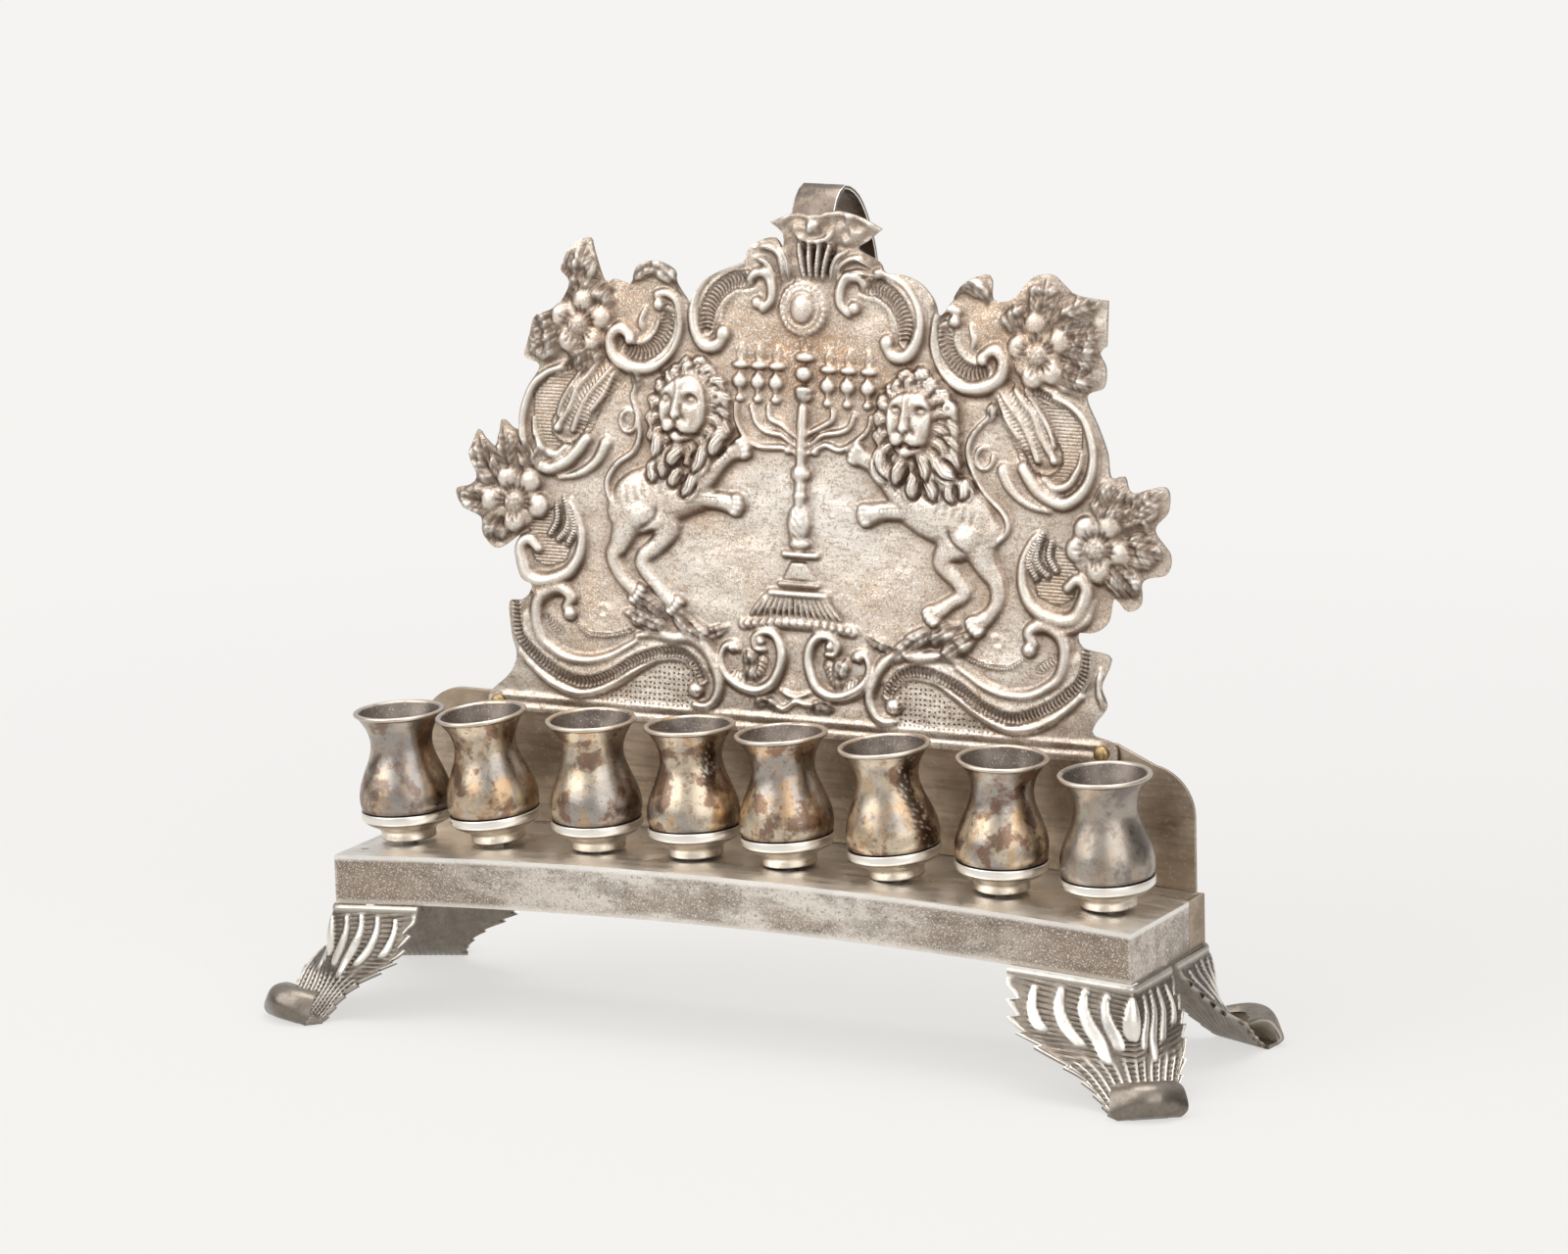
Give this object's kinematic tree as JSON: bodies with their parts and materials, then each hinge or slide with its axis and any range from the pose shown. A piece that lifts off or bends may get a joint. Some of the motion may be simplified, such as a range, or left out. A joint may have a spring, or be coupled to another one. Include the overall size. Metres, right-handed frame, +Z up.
{
  "type": "bench hanukkah lamp",
  "caption": "Bench hanukkah lamp of embossed sheet silver: backplate with lions and a menorah, tray bench on leaf feet, a row of lift-out oil fonts.",
  "frame": {"origin": "middle of the lamp's footprint box, on the surface it stands on", "axes": "+X along the bench to the viewer's right, +Y from the fonts towards the backplate, +Z up"},
  "size_m": [0.2642, 0.1091, 0.2141],
  "materials": {
    "bench_silver": "satin, tarnished",
    "wall_silver": "satin, darkly tarnished",
    "foot_silver": "satin, cast relief with dark recesses",
    "plate_silver": "satin, embossed, dark recesses",
    "strap_silver": "satin",
    "font_silver": "polished, tarnished brown",
    "dish_silver": "polished",
    "hardware": "dull"
  },
  "bodies": {
    "lamp_body": {"bench_tray": "bench_silver", "splash_wall": "wall_silver", "foot_front_left": "foot_silver", "foot_front_right": "foot_silver", "foot_rear_left": "foot_silver", "foot_rear_right": "foot_silver", "backplate": "plate_silver", "hanger_strap": "strap_silver", "font_dish_1": "dish_silver", "font_dish_2": "dish_silver", "font_dish_3": "dish_silver", "font_dish_4": "dish_silver", "font_dish_5": "dish_silver", "font_dish_6": "dish_silver", "font_dish_7": "dish_silver", "font_dish_8": "dish_silver", "dish_nut_1": "hardware", "dish_nut_2": "hardware", "dish_nut_3": "hardware", "dish_nut_4": "hardware", "dish_nut_5": "hardware", "dish_nut_6": "hardware", "dish_nut_7": "hardware", "dish_nut_8": "hardware", "plate_screw_left": "hardware", "plate_screw_right": "hardware", "plate_nut_left": "hardware", "plate_nut_right": "hardware"},
    "font_1": {"oil_font_1": "font_silver"},
    "font_2": {"oil_font_2": "font_silver"},
    "font_3": {"oil_font_3": "font_silver"},
    "font_4": {"oil_font_4": "font_silver"},
    "font_5": {"oil_font_5": "font_silver"},
    "font_6": {"oil_font_6": "font_silver"},
    "font_7": {"oil_font_7": "font_silver"},
    "font_8": {"oil_font_8": "font_silver"}
  },
  "joints": [
    {"name": "font_1_lift", "type": "slide", "parent": "lamp_body", "child": "font_1", "axis": [0, 0, 1], "range_m": [0, 0.045]},
    {"name": "font_2_lift", "type": "slide", "parent": "lamp_body", "child": "font_2", "axis": [0, 0, 1], "range_m": [0, 0.045]},
    {"name": "font_3_lift", "type": "slide", "parent": "lamp_body", "child": "font_3", "axis": [0, 0, 1], "range_m": [0, 0.045]},
    {"name": "font_4_lift", "type": "slide", "parent": "lamp_body", "child": "font_4", "axis": [0, 0, 1], "range_m": [0, 0.045]},
    {"name": "font_5_lift", "type": "slide", "parent": "lamp_body", "child": "font_5", "axis": [0, 0, 1], "range_m": [0, 0.045]},
    {"name": "font_6_lift", "type": "slide", "parent": "lamp_body", "child": "font_6", "axis": [0, 0, 1], "range_m": [0, 0.045]},
    {"name": "font_7_lift", "type": "slide", "parent": "lamp_body", "child": "font_7", "axis": [0, 0, 1], "range_m": [0, 0.045]},
    {"name": "font_8_lift", "type": "slide", "parent": "lamp_body", "child": "font_8", "axis": [0, 0, 1], "range_m": [0, 0.045]}
  ]
}
